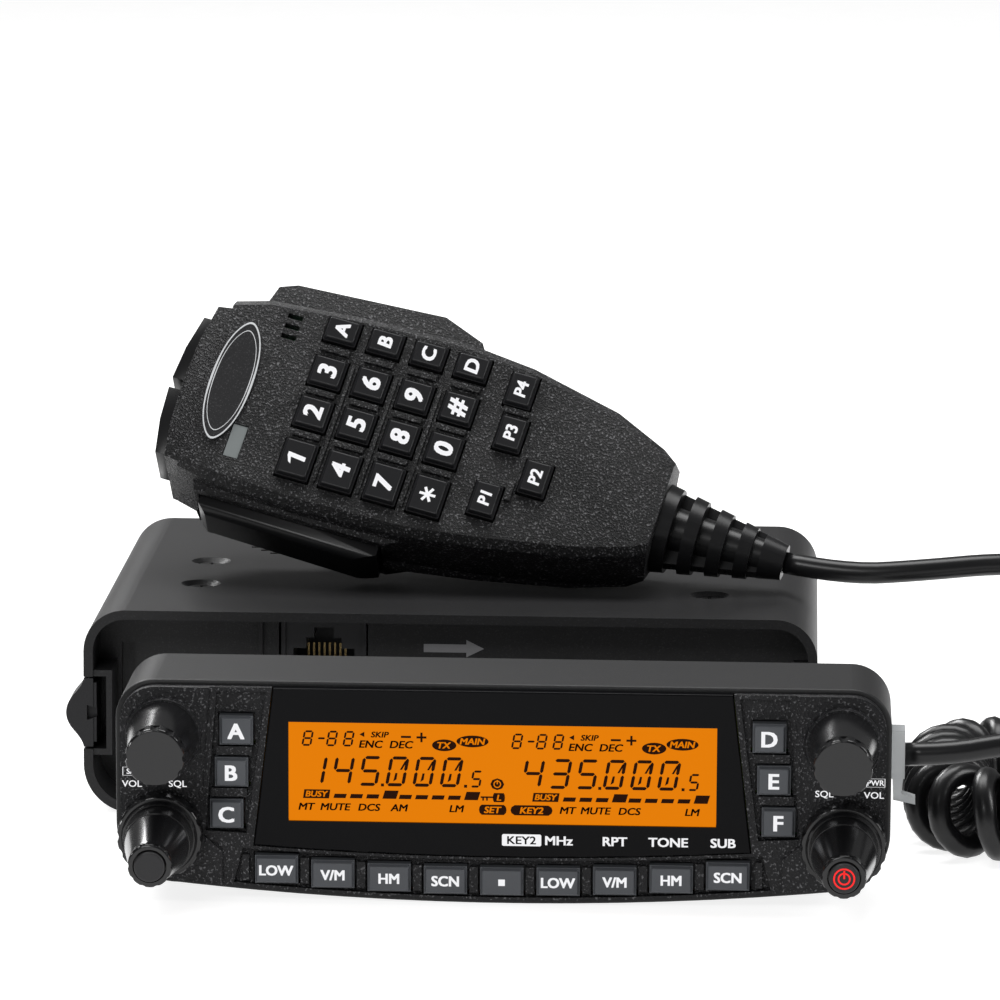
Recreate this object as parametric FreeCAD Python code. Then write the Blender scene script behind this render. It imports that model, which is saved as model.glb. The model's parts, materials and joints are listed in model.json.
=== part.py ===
"""Mobile transceiver: main unit, detached control head, keypad hand microphone and its curly cord.

Millimetres, +Z up.  The origin is on the main unit's flat underside, midway across it and 62.5
behind its front rim.  +X is to the right of a person facing the control head, and +Y runs to the
back of the main unit.
"""
import FreeCAD, Part
import math
import os

V = FreeCAD.Vector

# main unit
UNIT_W = 140.0
UNIT_H = 39.5
UNIT_D = 100.5
FRONT_Y = -62.5
REAR_Y = FRONT_Y + UNIT_D
TOP_R = 8.0
BOTTOM_R = 9.5
RIM = 1.8
TRAY_DEPTH = 12.0
TRAY_BACK = 2.0
BODY_FRONT = FRONT_Y + TRAY_DEPTH + TRAY_BACK
SEAM_Z = 20.0
COVER_T = 1.6
TUB_T = 3.0
REAR_WALL = 3.5
LATCH_Z = (12.4, 26.5)
JACK_X = (-33.5, -16.3)
JACK_Z = (20.5, 37.2)
SPEAKER_AT = (-25.0, 12.5)
SPEAKER_R = 18.0
FAN_AT = (25.0, 19.6)
FAN_R = 13.2
COVER_SCREWS = ((-50.0, -33.5), (-50.0, -9.5), (49.0, -38.0), (-50.0, 24.0), (54.0, 24.0))
BRACKET_Y = (-25.0, 25.0)
BRACKET_Z = 13.0
M4_WALL_R = 1.65

# control head: an upright box; HEAD_LEAN tips its face back, and a negative lean tips it forward
HEAD_W = 140.0
HEAD_H = 41.0
HEAD_T = 23.0
HEAD_LEAN = -3.0
HEAD_X = 13.3
HEAD_GAP = 48.2
HEAD_BACK = FRONT_Y - HEAD_GAP
HEAD_FRONT = HEAD_BACK - HEAD_T
HEAD_TOP_R = 7.3
BEZEL_T = 2.6
BEZEL_INSET = 1.0
BOSS = (-62.0, 62.0, 7.0, 34.0, 5.0)
KEY_GAP = 0.35
HEAD_CORNER = (59.0, 14.0, 11.0)
DIAL_AT = (61.2, 31.2)
VOLUME_AT = (61.6, 13.1)
LETTER_KEYS = ((48.0, 32.1), (48.9, 24.3), (49.8, 16.5))
LETTER_SIZE = (6.0, 5.4)
FUNCTION_PITCH = 10.2
FUNCTION_SIZE = (7.8, 5.2)
KEY_TRAVEL = 0.8
LCD = (-38.6, 38.6, 15.3, 33.8)
BOARD_Y = 9.0
PLUG_Y = HEAD_FRONT + 16.0
PLUG_Z = 25.7

# hand microphone: u runs from head to tail, w across the keypad, n out of the face
MIC_LEAN = 33.0
MIC_TURN = 16.0
MIC_AT = (-48.8, -24.6, 77.9)
MIC_SHELL = 2.0
MIC_SPLIT = -11.0
MIC_KEY_T = 1.7
MIC_ROWS = (21.4, 30.3, 39.2, 48.1)
# keypad columns: centre and width across the microphone, from the digit 1 side
MIC_COLUMNS = ((-11.2, 8.0), (-1.1, 6.6), (8.0, 6.4), (17.2, 5.2))
MIC_KEY_U = 6.6
PROGRAM_SIZE = (5.4, 7.2)
# along the grip: u, lower half width, upper half width, thickness
MIC_SECTIONS = (
    (-1.0, 18.2, 18.4, 29.0),
    (6.0, 19.6, 20.6, 30.6),
    (24.5, 20.3, 22.2, 29.6),
    (45.0, 19.9, 22.9, 27.8),
    (59.5, 17.9, 21.4, 26.4),
    (78.0, 14.4, 17.2, 24.4),
    (88.7, 11.2, 12.4, 23.0),
    (91.7, 9.4, 10.2, 21.0),
)

# cord: a straight lead from the microphone, a curly coil bent back on itself, and a tail to the head
CABLE_R = 2.15
CORD_GAP = 0.6
COIL_R = 8.8
COIL_BEND_R = 23.5
COIL_END_X = 190.0
COIL_BEND_X = 118.5
COIL_BEND_Y = -67.5
BOOT_START = 91.8
BOOT_LENGTH = 25.0
BOOT_N = -10.5
LEAD_ROUTE = (
    (75.4, -35.6, 43.4), (90.0, -35.0, 44.4), (107.0, -30.5, 45.4), (126.0, -22.0, 42.5),
    (146.0, -14.0, 34.5), (165.0, -7.0, 22.5), (182.0, -2.0, 10.5), (198.0, 1.0, 3.8), (214.0, 0.8, 2.3),
    (227.0, -6.5, 2.3), (232.0, -20.5, 2.3), (227.5, -34.8, 3.2), (214.5, -42.9, 5.6), (199.5, -44.2, 8.2),
)
TAIL_ROUTE = (
    (94.0, -117.7, 25.8), (104.0, -115.6, 27.4), (116.0, -112.8, 28.2), (130.0, -112.6, 25.3),
    (144.0, -115.6, 18.5), (157.0, -120.5, 10.5), (171.0, -126.0, 4.4), (187.0, -130.0, 2.3),
    (203.0, -131.0, 2.3), (217.0, -125.0, 2.3), (223.0, -111.5, 2.3), (218.0, -98.4, 3.2),
    (204.5, -92.0, 6.4),
)


def box(x0, x1, y0, y1, z0, z1):
    return Part.makeBox(x1 - x0, y1 - y0, z1 - z0, V(x0, y0, z0))


def cyl(radius, length, at, axis=(0, 1, 0)):
    return Part.makeCylinder(radius, length, V(*at), V(*axis))


def cone(r0, r1, length, at, axis=(0, -1, 0)):
    return Part.makeCone(r0, r1, length, V(*at), V(*axis))


def tube(outer, inner, length, at, axis=(0, 1, 0)):
    return cyl(outer, length, at, axis).cut(cyl(inner, length, at, axis))


def fuse(shapes):
    whole = shapes[0]
    for shape in shapes[1:]:
        whole = whole.fuse(shape)
    return whole.removeSplitter()


def group(shapes):
    return Part.makeCompound(shapes)


def corner(centre_x, centre_z, radius, start_deg, y):
    """A quarter-circle edge in the XZ plane, anticlockwise from start_deg."""
    points = []
    for part in (0, 45, 90):
        angle = math.radians(start_deg + part)
        points.append(V(centre_x + radius * math.cos(angle), y, centre_z + radius * math.sin(angle)))
    return Part.Arc(*points).toShape()


def rounded_prism(x0, x1, z0, z1, top_r, bottom_r, y0, y1):
    """A prism along Y with rounded corners in the XZ plane."""
    edges = [
        corner(x1 - top_r, z1 - top_r, top_r, 0, y0),
        corner(x0 + top_r, z1 - top_r, top_r, 90, y0),
        corner(x0 + bottom_r, z0 + bottom_r, bottom_r, 180, y0),
        corner(x1 - bottom_r, z0 + bottom_r, bottom_r, 270, y0),
    ]
    loop = []
    for index, edge in enumerate(edges):
        following = edges[(index + 1) % len(edges)]
        loop.append(edge)
        loop.append(Part.makeLine(edge.lastVertex().Point, following.firstVertex().Point))
    return Part.Face(Part.Wire(loop)).extrude(V(0, y1 - y0, 0))


def unit_prism(inset, y0, y1):
    """The main unit's cross-section, drawn in by inset."""
    half = UNIT_W / 2 - inset
    return rounded_prism(-half, half, inset, UNIT_H - inset, TOP_R - inset, BOTTOM_R - inset, y0, y1)


def prism_xz(points, y0, y1):
    wire = Part.makePolygon([V(x, y0, z) for x, z in points + points[:1]])
    return Part.Face(wire).extrude(V(0, y1 - y0, 0))


def save(name, shape):
    if not shape.isValid():
        print("INVALID", name)
    shape.exportStep("parts/" + name + ".step")


# ---------------------------------------------------------------- main unit

def screw_post(x, y):
    return tube(3.5, 1.3, UNIT_H - COVER_T - 0.4 - TUB_T, (x, y, TUB_T), (0, 0, 1))


def side_grooves():
    cuts = []
    for side in (-1, 1):
        for z in (7.5, 10.7, 15.3, 18.0):
            x = side * UNIT_W / 2
            cuts.append(box(x - 0.9, x + 0.9, BODY_FRONT + 8, REAR_Y - 10, z, z + 1.2))
    return cuts


def bracket_holes():
    cuts = []
    for side in (-1, 1):
        for y in BRACKET_Y:
            start = (side * UNIT_W / 2, y, BRACKET_Z)
            cuts.append(cyl(M4_WALL_R, 7.0, start, (-side, 0, 0)))
    return cuts


def fan_grille():
    """The rear wall's round opening, crossed by two bars and a ring."""
    x, z = FAN_AT
    opening = cyl(FAN_R, REAR_WALL + 2, (x, REAR_Y - REAR_WALL - 1, z))
    ring = tube(8.0, 6.6, REAR_WALL, (x, REAR_Y - REAR_WALL, z))
    flat = box(x - FAN_R, x + FAN_R, REAR_Y - REAR_WALL, REAR_Y, z - 0.7, z + 0.7)
    upright = box(x - 0.7, x + 0.7, REAR_Y - REAR_WALL, REAR_Y, z - FAN_R, z + FAN_R)
    return opening.cut(ring).cut(flat).cut(upright)


def chassis():
    lower = box(-UNIT_W, UNIT_W, BODY_FRONT, REAR_Y, 0, SEAM_Z)
    tub = unit_prism(0, BODY_FRONT, REAR_Y).common(lower)
    tub = tub.cut(unit_prism(TUB_T, BODY_FRONT - 1, REAR_Y - REAR_WALL))
    wall = unit_prism(COVER_T + 0.1, REAR_Y - REAR_WALL, REAR_Y)
    bosses = [cyl(4.4, 7.6, (side * (UNIT_W / 2 - 0.1), y, BRACKET_Z), (-side, 0, 0))
              for side in (-1, 1) for y in BRACKET_Y]
    posts = [screw_post(x, y) for x, y in COVER_SCREWS]
    stands = [cyl(2.5, 3.0, (x, y, TUB_T), (0, 0, 1)) for x in (-56, 56) for y in (-25, 14)]
    body = fuse([tub.cut(group(side_grooves())), wall] + bosses + posts + stands)
    cuts = [fan_grille(), cyl(6.2, 8, (-45, REAR_Y - 6, 22)), box(48, 62, REAR_Y - 6, REAR_Y + 1, 8, 17)]
    cuts += [cyl(4.1, 8, (x, REAR_Y - 6, 12)) for x in (-21, -8)]
    cuts += [cyl(1.3, 3.2, (x, y, UNIT_H - 6), (0, 0, 1)) for x, y in COVER_SCREWS]
    return body.cut(group(cuts + bracket_holes()))


def speaker_slots():
    """Rows of short slots that fill a round patch over the speaker."""
    x0, y0 = SPEAKER_AT
    cuts = []
    for row in range(-5, 6):
        for column in range(-4, 5):
            x = column * 4.2 + (2.1 if row % 2 else 0)
            y = row * 3.2
            if math.hypot(x, y) < SPEAKER_R:
                cuts.append(box(x0 + x - 1.5, x0 + x + 1.5, y0 + y - 0.6, y0 + y + 0.6, 30, 45))
    return cuts


def top_cover():
    upper = box(-UNIT_W, UNIT_W, BODY_FRONT, REAR_Y, SEAM_Z, UNIT_H + 1)
    skin = unit_prism(0, BODY_FRONT, REAR_Y).common(upper)
    skin = skin.cut(unit_prism(COVER_T, BODY_FRONT - 1, REAR_Y + 1))
    top = UNIT_H
    cuts = speaker_slots()
    for x, y in COVER_SCREWS:
        cuts.append(Part.makeCone(1.7, 3.9, COVER_T, V(x, y, top - COVER_T), V(0, 0, 1)))
    return skin.cut(group(cuts))


def case_screws():
    """Five countersunk cross-head screws that hold the top cover."""
    screws = []
    for x, y in COVER_SCREWS:
        head = Part.makeCone(1.5, 2.6, 0.75, V(x, y, UNIT_H - COVER_T + 0.1), V(0, 0, 1))
        shank = cyl(1.25, 8.0, (x, y, UNIT_H - COVER_T - 7.9), (0, 0, 1))
        cross = [box(x - 1.5, x + 1.5, y - 0.3, y + 0.3, UNIT_H - 1.2, UNIT_H),
                 box(x - 0.3, x + 0.3, y - 1.5, y + 1.5, UNIT_H - 1.2, UNIT_H)]
        screws.append(fuse([head, shank]).cut(group(cross)))
    return group(screws)


def latch_rails():
    """The C-shaped guide inside the tray's left wall."""
    outer = box(-68.2, -64.6, FRONT_Y + 0.6, BODY_FRONT - TRAY_BACK, 11.2, 27.7)
    inner = box(-68.3, -65.7, FRONT_Y, BODY_FRONT, *LATCH_Z)
    return outer.cut(inner)


def front_tray():
    """The open front of the main unit: a rim, shallow walls and a back wall."""
    rim = unit_prism(0, FRONT_Y, BODY_FRONT)
    hollow = unit_prism(RIM, FRONT_Y - 1, BODY_FRONT - TRAY_BACK)
    catch = box(65.4, 68.4, FRONT_Y + 2.2, FRONT_Y + 4.4, 28.5, 31.0)
    post = box(-37.4, -36.6, BODY_FRONT - TRAY_BACK - 0.8, BODY_FRONT - 1, 12, 37.5)
    body = fuse([rim.cut(hollow), latch_rails(), catch, post])
    z0, z1 = LATCH_Z
    cuts = [
        box(-75, -67.9, FRONT_Y - 1, BODY_FRONT - 4, z0, z1),
        box(-63.8, -61.2, BODY_FRONT - TRAY_BACK - 1, BODY_FRONT - 0.8, 12, 31),
        box(JACK_X[0], JACK_X[1], BODY_FRONT - 4, BODY_FRONT + 1, JACK_Z[0], JACK_Z[1]),
    ]
    return body.cut(group(cuts))


def latch_lobe():
    """The ribbed thumb lobe, a smooth hump on the unit's left side."""
    z0, z1 = LATCH_Z[0] + 0.4, LATCH_Z[1] - 0.4
    middle = (z0 + z1) / 2
    side = -UNIT_W / 2
    rise = [(0, 0), (1.1, 2.2), (2.9, 4.6)]
    outline = [(out, z0 + up) for out, up in rise] + [(3.4, middle)]
    outline += [(out, z1 - up) for out, up in reversed(rise)]
    points = [V(side - out, FRONT_Y + 0.4, z) for out, z in outline]
    curve = Part.BSplineCurve()
    curve.interpolate(points)
    wire = Part.Wire([curve.toShape(), Part.makeLine(points[-1], points[0])])
    return Part.Face(wire).extrude(V(0, 8.6, 0))


def release_latch():
    z0, z1 = LATCH_Z[0] + 0.4, LATCH_Z[1] - 0.4
    slab = box(-70, -68.2, FRONT_Y + 0.4, FRONT_Y + 9.0, z0, z1)
    slider = box(-68.2, -67.6, FRONT_Y + 0.8, FRONT_Y + 8.6, z0 + 0.9, z1 - 0.9)
    notch = prism_xz([(-69.4, 18.0), (-67.5, 18.6), (-67.5, 20.3), (-69.4, 20.9)], FRONT_Y, FRONT_Y + 2.0)
    return fuse([latch_lobe(), slab, slider]).cut(notch)


def stepped_opening(x, z, y0, y1):
    """A modular socket's mouth: wide below, stepped in towards the clip above."""
    steps = ((5.9, 0.0, 6.8), (3.4, 6.8, 8.9), (1.9, 8.9, 10.9))
    return fuse([box(x - half, x + half, y0, y1, z + low, z + high) for half, low, high in steps])


def panel_jack():
    x = (JACK_X[0] + JACK_X[1]) / 2
    front = BODY_FRONT - TRAY_BACK + 0.6
    block = box(x - 8.2, x + 8.2, front, front + 14, JACK_Z[0] + 0.3, JACK_Z[1] - 0.3)
    mouth = stepped_opening(x, JACK_Z[0] + 2.8, front - 1, front + 11.5)
    frame = box(x - 7.4, x + 7.4, front - 1, front + 0.5, JACK_Z[0] + 1.4, JACK_Z[1] - 1.2)
    return block.cut(mouth).cut(frame)


def main_board():
    board = box(-60, 60, -44, 22, 6.0, 7.6)
    parts = [box(-20, 0, -30, -14, 7.6, 9.8), box(8, 30, -34, -20, 7.6, 9.4),
             cyl(5.0, 11.0, (42, -12, 7.6), (0, 0, 1)), cyl(4.0, 9.0, (-30, 14, 7.6), (0, 0, 1)),
             box(34, 44, -36, -28, 7.6, 12.0)]
    holes = [cyl(3.8, 4, (x, y, 5), (0, 0, 1)) for x, y in COVER_SCREWS]
    notches = [box(side * 61 - 2.5, side * 61 + 2.5, y - 5, y + 5, 5, 9) for side in (-1, 1) for y in BRACKET_Y]
    return fuse([board] + parts).cut(group(holes + notches))


def power_module():
    """The transmitter's power transistor block under a finned heat spreader."""
    base = box(-14, 34, -6, 20, 7.9, 14.0)
    fins = [box(-13 + step * 5.6, -11 + step * 5.6, -6, 20, 14.0, 20.5) for step in range(9)]
    return fuse([base] + fins)


def fan_frame():
    x, z = FAN_AT
    front = REAR_Y - REAR_WALL - 10.3
    frame = box(x - 15, x + 15, front, front + 10, z - 15, z + 15).cut(cyl(FAN_R, 11, (x, front - 0.5, z)))
    hub = cyl(7.0, 1.4, (x, front + 8.6, z))
    arms = [box(x - FAN_R - 0.5, x + FAN_R + 0.5, front + 8.6, front + 10, z - 0.8, z + 0.8),
            box(x - 0.8, x + 0.8, front + 8.6, front + 10, z - FAN_R - 0.5, z + FAN_R + 0.5)]
    pin = cyl(0.8, 5.0, (x, front + 3.8, z))
    return fuse([frame, hub, pin] + arms)


def fan_rotor():
    x, z = FAN_AT
    front = REAR_Y - REAR_WALL - 10.3
    hub = cyl(6.6, 7.2, (x, front + 1.0, z)).cut(cyl(0.85, 5.0, (x, front + 3.6, z)))
    blades = []
    for step in range(7):
        blade = box(5.8, FAN_R - 0.6, -0.5, 0.5, -3.0, 3.0)
        blade.rotate(V(0, 0, 0), V(1, 0, 0), 35)
        blade.rotate(V(0, 0, 0), V(0, 1, 0), step * 360 / 7)
        blade.translate(V(x, front + 4.6, z))
        blades.append(blade)
    return fuse([hub] + blades)


def antenna_socket():
    """A UHF coaxial socket with its flange, barrel and centre sleeve; its thread is not cut."""
    at = (-45.0, REAR_Y, 22.0)
    flange = cyl(10.5, 2.0, at)
    barrel = cyl(7.9, 15.5, at)
    inside = cyl(6.0, 6.0, (at[0], REAR_Y - 6, at[2]))
    bore = tube(6.2, 2.6, 10.0, (at[0], REAR_Y + 5.6, at[2]))
    sleeve = cyl(1.9, 9.0, (at[0], REAR_Y + 7.6, at[2]))
    return fuse([flange, barrel, inside]).cut(group([bore, sleeve]))


def rear_sockets():
    """Two 3.5 mm speaker jacks and the DC lead's two-pole inlet."""
    pieces = []
    for x in (-21, -8):
        ferrule = cyl(3.9, 5.4, (x, REAR_Y - REAR_WALL - 0.2, 12))
        shell = box(x - 4.4, x + 4.4, REAR_Y - 15, REAR_Y - REAR_WALL - 0.2, 8.2, 16.4)
        pieces.append(fuse([ferrule, shell]).cut(cyl(1.8, 15, (x, REAR_Y - 11, 12))))
    inlet = box(48.2, 61.8, REAR_Y - 10, REAR_Y + 8, 8.2, 16.8)
    poles = [box(50 + step * 5.6, 54 + step * 5.6, REAR_Y - 4, REAR_Y + 9, 10, 15) for step in (0, 1)]
    pieces.append(inlet.cut(group(poles)))
    return group(pieces)


def speaker():
    x, y = SPEAKER_AT
    up = (0, 0, 1)
    top = UNIT_H - COVER_T - 0.4
    rim = tube(SPEAKER_R, SPEAKER_R - 2.0, 1.6, (x, y, top - 1.6), up)
    basket = Part.makeCone(9.5, SPEAKER_R - 1.2, 5.0, V(x, y, top - 6.0), V(*up))
    hollow = Part.makeCone(7.5, SPEAKER_R - 3.2, 5.0, V(x, y, top - 4.8), V(*up))
    magnet = cyl(9.0, 4.5, (x, y, top - 10.4), up)
    return fuse([basket.cut(hollow), rim, magnet])


# ---------------------------------------------------------------- control head
# Drawn with the face upright at y = 0 and its bottom edge at z = 0, then leaned and moved.

def head_prism(inset, height, y0, y1):
    """The head's outline: round corners and a gently bowed bottom edge."""
    half = HEAD_W / 2 - inset
    top = height - inset
    top_r = HEAD_TOP_R - inset
    x, z, radius = HEAD_CORNER
    radius -= inset
    bow = Part.Arc(V(-x, y0, z - radius), V(0, y0, inset), V(x, y0, z - radius)).toShape()
    edges = [
        corner(half - top_r, top - top_r, top_r, 0, y0),
        corner(top_r - half, top - top_r, top_r, 90, y0),
        corner(-x, z, radius, 180, y0),
        bow,
        corner(x, z, radius, 270, y0),
    ]
    loop = [
        edges[0], Part.makeLine(V(half - top_r, y0, top), V(top_r - half, y0, top)),
        edges[1], Part.makeLine(V(-half, y0, top - top_r), V(-half, y0, z)),
        edges[2], edges[3], edges[4],
        Part.makeLine(V(half, y0, z), V(half, y0, top - top_r)),
    ]
    face = Part.Face(Part.Wire(Part.__sortEdges__(loop)))
    return face.extrude(V(0, y1 - y0, 0))


def lean(shape):
    shape.rotate(V(0, 0, 0), V(1, 0, 0), -HEAD_LEAN)
    shape.translate(V(HEAD_X, HEAD_FRONT, 0))
    return shape


def stand(shape):
    """Moves a shape drawn in the head's upright frame."""
    shape.translate(V(HEAD_X, HEAD_FRONT, 0))
    return shape


def front_edges(shape, y):
    return [edge for edge in shape.Edges if all(abs(point.Point.y - y) < 1e-4 for point in edge.Vertexes)]


def upright_height():
    return HEAD_H * math.cos(math.radians(HEAD_LEAN))


def panel_housing():
    """The rear shell: a wedge whose leaning front carries the bezel in a shallow seat."""
    ledge = BEZEL_T / 2
    block = stand(head_prism(0, upright_height(), -4, HEAD_T))
    ahead = lean(box(-100, 100, -20, ledge, -20, 60))
    block = block.cut(ahead)
    normal = V(0, -math.cos(math.radians(HEAD_LEAN)), math.sin(math.radians(HEAD_LEAN)))
    origin = V(HEAD_X, HEAD_FRONT, 0) - normal * ledge
    rim = [e for e in block.Edges if all(abs((v.Point - origin).dot(normal)) < 1e-4 for v in e.Vertexes)]
    block = block.makeFillet(0.6, rim)
    x0, x1, z0, z1, depth = BOSS
    boss = stand(rounded_prism(x0, x1, z0, z1, 3, 3, HEAD_T - 0.5, HEAD_T + depth))
    seat = lean(head_prism(BEZEL_INSET, HEAD_H, -5, BEZEL_T))
    hollow = stand(head_prism(1.6, upright_height(), -5, HEAD_T - 2.2))
    behind = lean(box(-100, 100, BEZEL_T - 0.01, 60, -20, 60))
    jack_hole = box(HEAD_X + 60, HEAD_X + 80, PLUG_Y - 4.4, PLUG_Y + 4.0, PLUG_Z - 6.0, PLUG_Z + 6.4)
    block = fuse([block, boss]).cut(seat).cut(hollow.common(behind))
    return block.cut(jack_hole)


def mirror_x(points, side):
    return [(side * x, z) for x, z in points]


def window_prism(inset, y0, y1):
    """The display window's outline, wider at its bowed bottom edge."""
    top = HEAD_H - BEZEL_INSET - inset
    x_top, x_low, z_low, z_mid = 41.4 - inset, 44.9 - inset, 10.6 + inset, 9.1 + inset
    bow = Part.Arc(V(-x_low, y0, z_low), V(0, y0, z_mid), V(x_low, y0, z_low)).toShape()
    right = Part.makeLine(V(x_low, y0, z_low), V(x_top, y0, top))
    over = Part.makeLine(V(x_top, y0, top), V(-x_top, y0, top))
    left = Part.makeLine(V(-x_top, y0, top), V(-x_low, y0, z_low))
    return Part.Face(Part.Wire([bow, right, over, left])).extrude(V(0, y1 - y0, 0))


def function_keys():
    """Centre of each function key; the row follows the bowed bottom edge."""
    places = []
    for index in range(-4, 5):
        x = index * FUNCTION_PITCH
        places.append((x, 4.6 + 1.6 * (x / 40.8) ** 2))
    return places


def letter_keys(side):
    return [(side * x, z) for x, z in LETTER_KEYS]


def key_hole(centre, size):
    x, z = centre
    half_x, half_z = size[0] / 2 + KEY_GAP, size[1] / 2 + KEY_GAP
    return box(x - half_x, x + half_x, -3, BEZEL_T + 1, z - half_z, z + half_z)


def key_strip():
    """The recess under the window that holds the function keys."""
    bow_top = Part.Arc(V(-47.0, -2, 10.0), V(0, -2, 8.5), V(47.0, -2, 10.0)).toShape()
    bow_low = Part.Arc(V(48.6, -2, 3.6), V(0, -2, 1.5), V(-48.6, -2, 3.6)).toShape()
    right = Part.makeLine(V(47.0, -2, 10.0), V(48.6, -2, 3.6))
    left = Part.makeLine(V(-48.6, -2, 3.6), V(-47.0, -2, 10.0))
    return Part.Face(Part.Wire([bow_top, right, bow_low, left])).extrude(V(0, 3.0, 0))


def bezel_pads(outline):
    """Raised, grained areas under the knobs."""
    pads = []
    for side in (-1, 1):
        corners = [(75, -2), (75, 45), (52.9, 45), (52.9, 39), (55.0, 13.2), (50.6, 9.5), (50.6, -2)]
        area = mirror_x(corners, side)
        pad = prism_xz(area, -0.6, 0.4).common(outline)
        pads.append(pad)
    return pads


def panel_bezel():
    outline = head_prism(BEZEL_INSET, HEAD_H, -0.6, 0.4)
    plate = head_prism(BEZEL_INSET, HEAD_H, 0, BEZEL_T)
    pads = bezel_pads(outline)
    collars = [cone(7.2, 6.7, 1.8, (side * DIAL_AT[0], 0, DIAL_AT[1])) for side in (-1, 1)]
    body = fuse([plate] + pads + collars)
    cuts = [window_prism(-0.15, -3, BEZEL_T + 1), box(-41.5, 41.5, -3, BEZEL_T + 1, 36, 45), key_strip()]
    for side in (-1, 1):
        recess = mirror_x([(51.6, 39.2), (42.6, 39.2), (46.2, 12.8), (53.7, 13.2)], side)
        cuts.append(prism_xz(recess, -1, 1.1))
        cuts += [key_hole(centre, LETTER_SIZE) for centre in letter_keys(side)]
        cuts.append(cyl(3.8, 10, (side * DIAL_AT[0], -5, DIAL_AT[1])))
        cuts.append(cyl(4.9, 10, (side * VOLUME_AT[0], -5, VOLUME_AT[1])))
    cuts += [key_hole(centre, FUNCTION_SIZE) for centre in function_keys()]
    body = body.cut(group(cuts))
    return lean(fuse([body] + key_bridges()))


def key_bridges():
    """Small grained bars that stand between neighbouring keys."""
    bars = []
    for side in (-1, 1):
        keys = letter_keys(side)
        for above, below in zip(keys, keys[1:]):
            x, z = (above[0] + below[0]) / 2, (above[1] + below[1]) / 2
            bars.append(box(x - 3.2, x + 3.2, -0.15, 1.6, z - 0.8, z + 0.8))
    row = function_keys()
    for left, right in zip(row, row[1:]):
        x, z = (left[0] + right[0]) / 2, (left[1] + right[1]) / 2
        bars.append(box(x - 0.75, x + 0.75, -0.15, 1.6, z - 2.3, z + 2.5))
    for side in (-1, 1):
        x, z = side * 46.4, 6.2
        bars.append(box(x - 0.6, x + 0.6, -0.15, 1.6, z - 2.2, z + 2.6))
    return bars


def display_window():
    """A gloss frame round the glass of the display, held by clips behind the bezel."""
    plate = window_prism(0, -0.35, 2.0)
    plate = plate.makeFillet(0.3, front_edges(plate, -0.35))
    x0, x1, z0, z1 = LCD
    return lean(plate.cut(box(x0, x1, -1, 3, z0, z1)))


def lcd_module():
    """The display: its glass fills the window's opening, a carrier sits behind."""
    x0, x1, z0, z1 = LCD
    glass = box(x0 + 0.05, x1 - 0.05, 0.0, 2.4, z0 + 0.05, z1 - 0.05)
    carrier = box(x0 - 1.5, x1 + 1.5, 2.3, 6.4, z0 - 3.2, z1 + 2.2)
    return lean(glass.fuse(carrier).removeSplitter())


def panel_board():
    """The circuit board with the encoders' bushings and a switch behind each key."""
    parts = [box(-half, half, BOARD_Y, BOARD_Y + 1.6, low, high)
             for half, low, high in ((46, 5.6, 37), (60, 7.2, 37), (65, 9.5, 36))]
    for side in (-1, 1):
        for (x, z), outer, bore in ((DIAL_AT, 3.5, 3.05), (VOLUME_AT, 4.6, 4.05)):
            x *= side
            body = cyl(5.4, BOARD_Y - 4.2, (x, 4.2, z))
            neck = cyl(outer, 5.4, (x, -1.0, z))
            parts.append(fuse([body, neck]).cut(cyl(bore, 9.0, (x, -2.0, z))))
        parts += [cyl(1.5, 4.2, (x, 4.8, z)) for x, z in letter_keys(side)]
    parts += [cyl(1.5, 4.2, (x, 4.8, max(z, 6.8))) for x, z in function_keys()]
    bores = [cyl(3.0, 5, (side * x, 4, z)) for side in (-1, 1) for x, z in (DIAL_AT, VOLUME_AT)]
    return lean(fuse(parts).cut(group(bores)))


def panel_key(centre, size):
    """A key cap: a tapered top, a straight skirt and a flange that catches behind the bezel."""
    x, z = centre
    half_x, half_z = size[0] / 2, size[1] / 2

    def ring(grow, y):
        corners = [(-1, -1), (1, -1), (1, 1), (-1, 1), (-1, -1)]
        return Part.makePolygon([V(x + i * (half_x + grow), y, z + j * (half_z + grow)) for i, j in corners])

    cap = Part.makeLoft([ring(0, -0.1), ring(-0.45, -1.2)], True, True)
    cap = cap.makeFillet(0.25, cap.Edges)
    skirt = box(x - half_x, x + half_x, -0.35, 3.0, z - half_z, z + half_z)
    flange = box(x - half_x - 0.7, x + half_x + 0.7, BEZEL_T + 0.3, BEZEL_T + 1.0, z - half_z, z + half_z + 0.7)
    return lean(fuse([cap, skirt, flange]))


def scalloped(radius, length, at, bites, bite_r):
    """A disc along -Y with shallow round bites in its edge."""
    x, y, z = at
    disc = cyl(radius, length, at, (0, -1, 0))
    rim = [edge for edge in disc.Edges if abs(edge.Vertexes[0].Point.y - (y - length)) < 1e-6]
    disc = disc.makeFillet(0.5, rim)
    cuts = []
    for step in range(bites):
        angle = 2 * math.pi * step / bites
        reach = radius + bite_r * 0.72
        bite = (x + reach * math.cos(angle), y + 1, z + reach * math.sin(angle))
        cuts.append(cyl(bite_r, length + 2, bite, (0, -1, 0)))
    return disc.cut(group(cuts))


def dial_knob(side):
    """A channel dial: a smooth cone with a scalloped cap, on a 6 mm shaft."""
    x, z = side * DIAL_AT[0], DIAL_AT[1]
    shaft = cyl(3.0, 12.0, (x, 4.1, z), (0, -1, 0))
    base = cone(6.4, 5.2, 12.0, (x, -2.1, z))
    skirt_bore = cyl(3.9, 1.0, (x, -2.0, z), (0, -1, 0))
    cap = scalloped(5.3, 3.2, (x, -14.0, z), 12, 1.3)
    return lean(fuse([base.cut(skirt_bore), shaft, cap]))


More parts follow.
